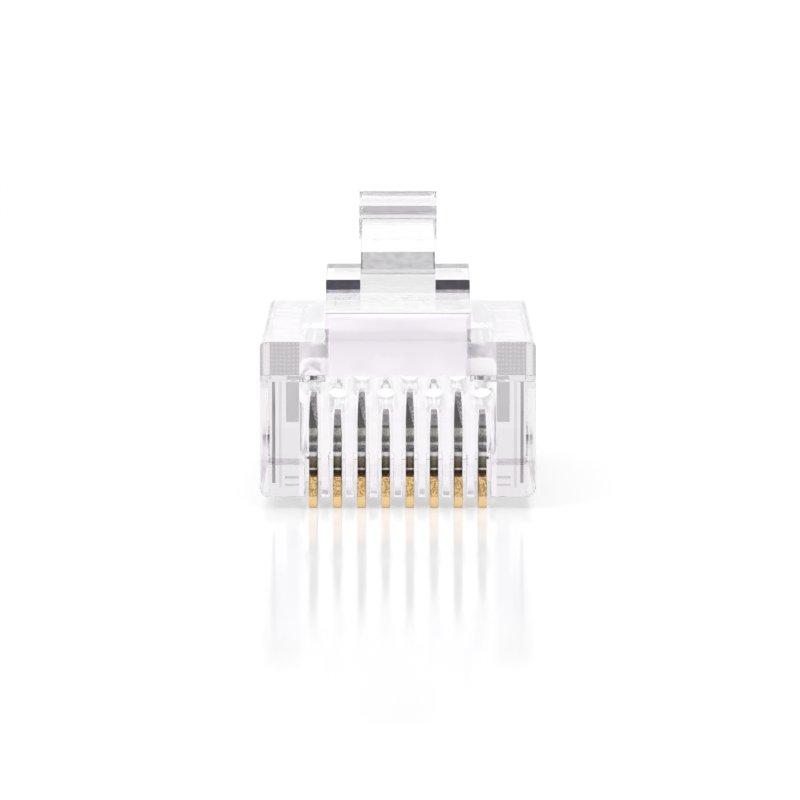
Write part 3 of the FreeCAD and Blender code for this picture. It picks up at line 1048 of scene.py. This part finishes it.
    def dress(self, piece: Piece) -> None:
        """Finish the piece: give it the clear plastic and each face's look, and hide the body and the latch
        that it replaces.

        Args:
            piece: The finished moulding.
        """
        piece.data.materials.append(self.plastic)
        looks = [self.look_of(face) for face in piece.data.polygons]
        for part in fields(FaceLook):
            mask = piece.data.attributes.new(part.name, "FLOAT", "FACE")
            mask.data.foreach_set("value", [getattr(look, part.name) for look in looks])
        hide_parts("housing", "latch")
        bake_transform(piece)


@dataclass
class CableClamp:
    """The strain-relief bar that hangs in the body's window.

    Attributes:
        plastic: The clear plastic.
        edge_round: The radius of its softened edges.
        crease: The angle above which an edge stays sharp, in degrees.
    """

    plastic: Material
    edge_round: float = 0.05 * MM
    crease: float = 28.0

    def build(self) -> Piece:
        """Soften the bar's edges.

        Returns:
            The finished piece.
        """
        piece = take_copy("cable_clamp", "clamp_bar")
        soften(piece, self.edge_round)
        smooth(piece, self.crease)
        return piece

    def dress(self, piece: Piece) -> None:
        """Finish the bar and let it ride on the clamp's body."""
        piece.data.materials.append(self.plastic)
        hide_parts("cable_clamp")
        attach(piece, "cable_clamp")


@dataclass
class Blades:
    """The row of eight stamped contact blades.

    Attributes:
        tall: The material of the blades with high tines, the first of each pair: plating with painted shade and
            highlights.
        short: The material of the blades with low tines, likewise.
        edge_round: The radius of the stamped edges.
        crease: The angle above which an edge stays sharp, in degrees.
    """

    tall: PlatedBlade
    short: PlatedBlade
    edge_round: float = 0.03 * MM
    crease: float = 35.0

    def build(self) -> list[Piece]:
        """Soften each blade's edges.

        Returns:
            The finished blades, from the first to the last.
        """
        row = []
        for number in range(1, CONTACTS + 1):
            piece = take_copy(f"contact_{number}", f"blade_{number}")
            soften(piece, self.edge_round)
            smooth(piece, self.crease)
            row.append(piece)
        return row

    def dress(self, row: list[Piece]) -> None:
        """Plate the blades and let each ride on its own body.

        Args:
            row: The blades in order.
        """
        blade_materials = (self.short.make(), self.tall.make())
        for number, piece in enumerate(row, start=1):
            piece.data.materials.append(blade_materials[number % 2])
            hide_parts(f"contact_{number}")
            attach(piece, f"contact_{number}")


@dataclass
class Studio:
    """The white stage: floor, sky, lamps and camera.

    Attributes:
        floor_size: The floor's width and depth.
        floor_grey: How much light its matt share gives back.
        floor_glow: From the plug's middle out, where the floor starts and ends to turn plain white.
        floor_white: How plain it is under the plug already.
        floor_gloss: The share of its reflection, and that reflection's roughness.
        distance: From the nose of the plug forward to the camera.
        height: The camera's height over the floor.
        pitch: How far the camera looks down, in degrees.
        lens: The focal length, in millimetres.
        aside: The camera's place across the plug.
        clip: The nearest and farthest that the camera sees.
        bounces: How often light may turn inside the clear plastic.
        soft_sky: The colour and strength of the light that falls on matt faces.
        front_flag: Degrees from straight ahead of the nose, each with the sky's colour there.
        overhead: The direction of the flag above the plug.
        overhead_flag: Degrees from that flag's middle, each with the sky's colour there.
        lamps: For each softbox its name, place, side and power in watts.
        target: The point that the softboxes face.
    """

    floor_size: float = 2.4
    floor_grey: float = 0.9
    floor_glow: Pair = (30.0 * MM, 150.0 * MM)
    floor_white: float = 0.62
    floor_gloss: Pair = (0.33, 0.1)
    distance: float = 262.72 * MM
    height: float = 31.0 * MM
    pitch: float = 5.737
    lens: float = 283.0
    aside: float = 0.09 * MM
    clip: Pair = (0.01, 10.0)
    bounces: int = 32
    soft_sky: tuple[Colour, float] = ((0.97, 0.97, 1.0), 0.88)
    front_flag: Stops = (
        (0, (0.02, 0.02, 0.03)),
        (25, (0.04, 0.035, 0.06)),
        (38, (0.5, 0.49, 0.52)),
        (75, WHITE))
    overhead: Triple = (0.0, 0.28, 0.96)
    overhead_flag: Stops = (
        (0, (0.04, 0.035, 0.07)),
        (12, (0.02, 0.018, 0.04)),
        (17, WHITE))
    lamps: tuple[tuple[str, Triple, float, float], ...] = (
        ("key_softbox", (-0.35, -0.25, 0.45), 0.35, 1.6),
        ("top_softbox", (0.05, 0.15, 0.6), 0.5, 1.6))
    target: Triple = (0.0, 0.0, 5.0 * MM)

    def floor(self) -> None:
        """Lay the pale floor, which keeps the plug's shadow and a faint reflection."""
        bpy.ops.object.select_all(action="DESELECT")
        bpy.ops.mesh.primitive_grid_add(x_subdivisions=8, y_subdivisions=8, size=self.floor_size)
        floor = bpy.context.active_object
        floor.name = "floor"
        floor.data.materials.append(self.floor_paint())

    def floor_paint(self) -> Material:
        """Make the floor's satin white, which clear plastic shows as plain white.

        Returns:
            The material.
        """
        nodes = Nodes("stage_white")
        share, roughness = self.floor_gloss
        matt = nodes.add("ShaderNodeBsdfDiffuse", Color=(*[self.floor_grey] * 3, 1.0))
        glow = nodes.add("ShaderNodeEmission", Strength=1.0)
        gloss = nodes.add("ShaderNodeBsdfGlossy", Roughness=roughness, Color=(*WHITE, 1.0))
        place = nodes.add("ShaderNodeTexCoord")
        away = nodes.add("ShaderNodeVectorMath", operation="LENGTH")
        nodes.join(place.outputs["Object"], away.inputs[0])
        far = nodes.between(away.outputs["Value"], self.floor_white, 1.0, *self.floor_glow)
        satin = nodes.lay_over(share, nodes.lay_over(far, matt, glow), gloss)
        path = nodes.add("ShaderNodeLightPath")
        plain = nodes.lay_over(path.outputs["Is Transmission Ray"], satin, glow)
        nodes.join(plain.outputs["Shader"], nodes.output.inputs["Surface"])
        return nodes.material

    def sky(self) -> None:
        """Give the world its white surround, the dark flags that clear plastic shows, and a plain light."""
        world = bpy.data.worlds.new("studio_world")
        bpy.context.scene.world = world
        world.use_nodes = True
        nodes = Nodes.of_world(world)
        place = nodes.add("ShaderNodeTexCoord")
        front = self.flag(nodes, place, (0.0, -1.0, 0.0), self.front_flag)
        overhead = self.flag(nodes, place, self.overhead, self.overhead_flag)
        flags = nodes.add("ShaderNodeBackground")
        nodes.join(nodes.mix(1.0, front, overhead, blend="MULTIPLY"), flags.inputs["Color"])
        colour, strength = self.soft_sky
        soft = nodes.add("ShaderNodeBackground", Strength=strength, Color=(*colour, 1.0))
        white = nodes.add("ShaderNodeBackground", Strength=1.0, Color=(*WHITE, 1.0))
        path = nodes.add("ShaderNodeLightPath")
        whole = nodes.lay_over(path.outputs["Is Glossy Ray"], soft, white)
        for ray, seen in (("Is Transmission Ray", flags), ("Is Camera Ray", white)):
            whole = nodes.lay_over(path.outputs[ray], whole, seen)
        nodes.join(whole.outputs["Shader"], nodes.output.inputs["Surface"])

    def flag(self, nodes: Nodes, place: Node, middle: Triple, stops: Stops) -> Socket:
        """Darken the sky round one direction, as a studio flag does.

        Args:
            nodes: The world's nodes.
            place: The texture coordinates.
            middle: The direction of the flag's middle, of length 1.
            stops: Angles in degrees from the middle, each with its colour.

        Returns:
            The flag's colour.
        """
        along = nodes.add("ShaderNodeVectorMath", operation="DOT_PRODUCT")
        along.inputs[1].default_value = middle
        nodes.join(place.outputs["Generated"], along.inputs[0])
        angle = nodes.work_out("ARCCOSINE", along.outputs["Value"])
        share = nodes.work_out("DIVIDE", angle, math.pi)
        return nodes.ramp(share, [(degrees / 180, colour) for degrees, colour in stops])

    def lamp(self, name: str, place: Triple, size: float, power: float) -> None:
        """Hang a square softbox that faces the plug.

        Args:
            name: The lamp's name.
            place: Where it hangs, in metres.
            size: The length of its side.
            power: Its power in watts.
        """
        data = bpy.data.lights.new(name, "AREA")
        data.shape = "SQUARE"
        data.size = size
        data.energy = power
        lamp = bpy.data.objects.new(name, data)
        bpy.context.scene.collection.objects.link(lamp)
        lamp.visible_glossy = False
        lamp.visible_transmission = False
        lamp.location = place
        lamp.rotation_euler = (Vector(self.target) - Vector(place)).to_track_quat("-Z", "Y").to_euler()

    def camera(self, nose: float) -> None:
        """Set up the camera before the nose of the plug.

        Args:
            nose: The nose's place along the plug.
        """
        data = bpy.data.cameras.new("camera")
        data.lens = self.lens
        data.sensor_width = 36.0
        data.clip_start, data.clip_end = self.clip
        camera = bpy.data.objects.new("camera", data)
        bpy.context.scene.collection.objects.link(camera)
        camera.location = (self.aside, nose - self.distance, self.height)
        camera.rotation_euler = (math.radians(90 - self.pitch), 0.0, 0.0)
        bpy.context.scene.camera = camera

    def build(self, nose: float) -> None:
        """Set the whole stage.

        Args:
            nose: The nose's place along the plug.
        """
        self.floor()
        self.sky()
        for lamp in self.lamps:
            self.lamp(*lamp)
        self.camera(nose)
        bpy.context.scene.view_settings.view_transform = "Standard"
        for kind in ("max_bounces", "transmission_bounces", "glossy_bounces"):
            setattr(bpy.context.scene.cycles, kind, self.bounces)


def main() -> None:
    """Build and dress each sub-assembly in order, then set the stage."""
    clear = ClearPlastic().make()
    moulding = ClearMoulding(clear)
    skin = moulding.build()
    moulding.dress(skin)
    LOG.info("moulding: %d faces", len(skin.data.polygons))
    clamp = CableClamp(clear)
    bar = clamp.build()
    clamp.dress(bar)
    LOG.info("cable clamp: %d faces", len(bar.data.polygons))
    tall = PlatedBlade("blade_tall_plating_and_painted_light",
                       ((3.49, (0.85, 0.78, 0.82), 0.9), (4.60, (1.0, 0.94, 0.98), 0.5)), wedge=True, first=0.5 * (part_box("contact_1")[0].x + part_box("contact_1")[1].x))
    short = PlatedBlade("blade_short_plating_and_painted_light",
                        ((3.49, (0.98, 0.94, 0.98), 0.2), (4.00, (0.90, 0.82, 0.86), 0.3)))
    blades = Blades(tall, short)
    row = blades.build()
    blades.dress(row)
    LOG.info("blades: %d", len(row))
    studio = Studio()
    studio.build(moulding.nose)
    LOG.info("stage: floor, sky, lamps and camera")


if __name__ == "__main__":
    logging.basicConfig(level=logging.INFO, format="%(name)s: %(message)s")
    main()
